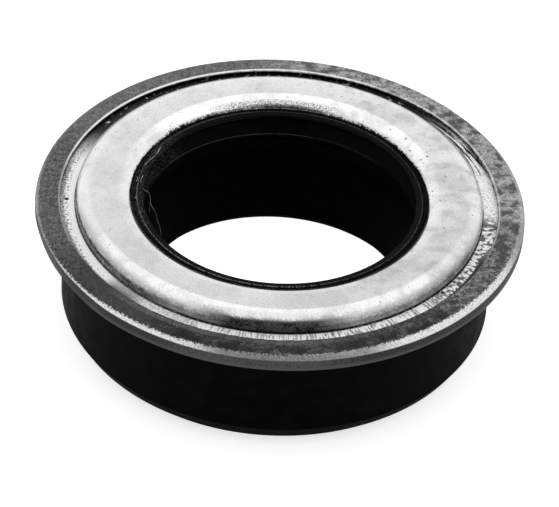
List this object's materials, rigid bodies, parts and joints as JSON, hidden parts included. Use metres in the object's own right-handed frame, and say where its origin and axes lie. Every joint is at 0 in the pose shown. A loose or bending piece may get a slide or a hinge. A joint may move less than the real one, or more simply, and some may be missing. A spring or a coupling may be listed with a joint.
{
  "type": "oil seal",
  "caption": "Flanged rotary shaft oil seal with a rubber body, a folded steel flange and a steel shield ring.",
  "frame": {"origin": "centre of the base, on the shaft's axis, at the oil side", "axes": "+Z along the shaft's axis, from the oil side to the air side, where the flange and the shield ring are"},
  "size_m": [0.07, 0.07, 0.0216],
  "materials": {
    "dark_steel": "oxidised",
    "bright_steel": "satin, worn",
    "black_rubber": "satin",
    "spring_steel": "drawn wire"
  },
  "bodies": {
    "root": {"outer_case": "dark_steel", "cover_ring": "bright_steel", "seal_body": "black_rubber", "garter_spring": "spring_steel"}
  },
  "joints": []
}
